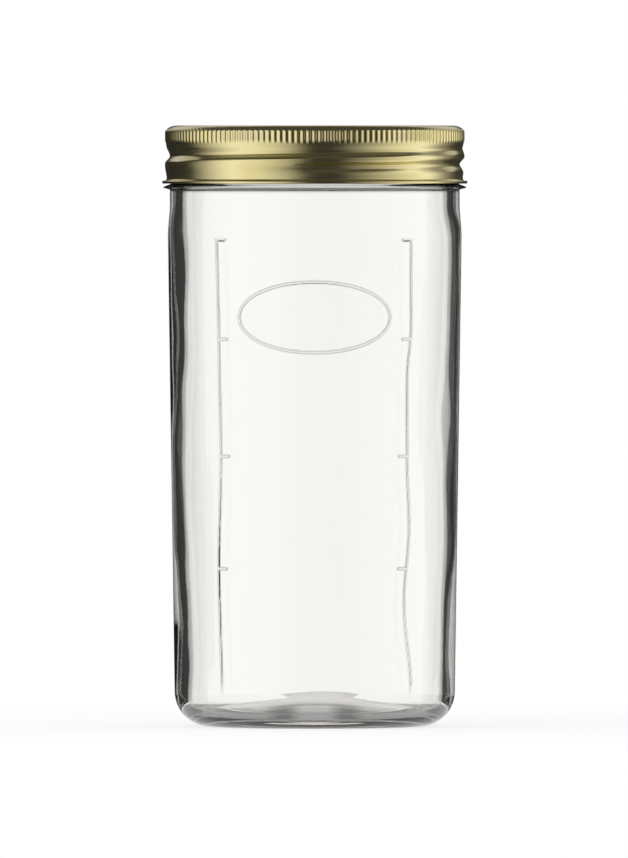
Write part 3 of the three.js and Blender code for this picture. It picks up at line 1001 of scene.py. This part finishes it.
def metal_surround():
    """Soft boxes and dark gaps round the jar, as brightness by angle."""
    near, far = (SURROUND_START, MM), (SURROUND_RADIUS, MM)
    high, over = (SURROUND_RADIUS, SURROUND_TOP), (OVERHEAD_RADIUS, OVERHEAD_Z)
    nodes, links, glow = card("metal_surround", (near, far, high, over), FULL_TURN, False, 1.0)
    place = nodes.new("ShaderNodeTexCoord")
    axes = nodes.new("ShaderNodeSeparateXYZ")
    links.new(place.outputs["Object"], axes.inputs["Vector"])
    front = worked_out(nodes, links, "MULTIPLY", axes.outputs["Y"], -1.0)
    turn = worked_out(nodes, links, "ARCTAN2", axes.outputs["X"], front)
    degrees = worked_out(nodes, links, "DEGREES", turn)
    links.new(ramp_by_stops(nodes, links, degrees, SURROUND_GLOW, -180, 180), glow.inputs["Color"])


def lamp(name, angle, height, distance, size, power):
    """A square soft lamp at an angle from the camera's side, aimed at the jar's middle."""
    data = bpy.data.lights.new(name, "AREA")
    data.shape = "SQUARE"
    data.size = size
    data.energy = power
    source = bpy.data.objects.new(name, data)
    turn = math.radians(FRONT + angle)
    source.location = (distance * math.cos(turn), distance * math.sin(turn), height)
    aim = Vector((0, 0, RIM_Z / 2)) - source.location
    source.rotation_mode = "QUATERNION"
    source.rotation_quaternion = aim.to_track_quat("-Z", "Y")
    source.visible_camera = False
    source.visible_glossy = False
    source.visible_transmission = False
    bpy.context.collection.objects.link(source)


white_world()
pale_floor()
metal_surround()
overhead = ((0, OVERHEAD_Z), (OVERHEAD_RADIUS, OVERHEAD_Z))
card("overhead_card", overhead, FULL_TURN, False, OVERHEAD_GLOW)
# Painted shade of the floor round the jar, seen only in the metal.
near_floor = ((SURROUND_START, NEAR_FLOOR_Z), (NEAR_FLOOR_REACH, NEAR_FLOOR_Z))
card("near_floor_card", near_floor, FULL_TURN, False, DARK_CARD)
rear = ((REAR_LIGHT_RADIUS, REAR_LIGHT_LOW), (REAR_LIGHT_RADIUS, REAR_LIGHT_HIGH))
card("rear_light", rear, REAR_LIGHT_SWEEP, False, REAR_LIGHT_GLOW)
beside = ((GLASS_CARD_START, MM), (GLASS_CARD_RADIUS, MM), (GLASS_CARD_RADIUS, GLASS_CARD_TOP))
card("glass_left_card", beside, GLASS_LEFT_SWEEP, True, DARK_CARD)
card("glass_right_card", beside, GLASS_RIGHT_SWEEP, True, DARK_CARD)
sky = ((SKY_CARD_RADIUS, SKY_CARD_LOW), (SKY_CARD_RADIUS, SKY_CARD_HIGH), (0, SKY_CARD_HIGH))
card("sky_card", sky, FULL_TURN, True, DARK_CARD)
lamp("left_lamp", angle=-60, height=0.9, distance=1.5, size=0.9, power=12.0)
lamp("right_lamp", angle=75, height=0.8, distance=1.6, size=0.9, power=7.0)

# Camera: level with the lid, far back and pitched to the jar's middle, with the picture's scale at its axis
PHOTO_HEIGHT = 858
PHOTO_PIXELS_PER_METRE = 3050
CAMERA_DISTANCE = 7.6
CAMERA_HEIGHT = 187 * MM
PICTURE_MIDDLE_Z = 97.5 * MM
CAMERA_LEFT = 0.25 * MM
SENSOR = 36.0
view = bpy.data.cameras.new("photo_view")
view.sensor_width = SENSOR
view.lens = SENSOR * CAMERA_DISTANCE * PHOTO_PIXELS_PER_METRE / PHOTO_HEIGHT
camera = bpy.data.objects.new("photo_view", view)
camera.location = (-CAMERA_LEFT, -CAMERA_DISTANCE, CAMERA_HEIGHT)
pitch = math.atan2(CAMERA_HEIGHT - PICTURE_MIDDLE_Z, CAMERA_DISTANCE)
camera.rotation_euler = (math.pi / 2 - pitch, 0, 0)
bpy.context.collection.objects.link(camera)
bpy.context.scene.camera = camera
bpy.context.scene.view_settings.view_transform = "Standard"
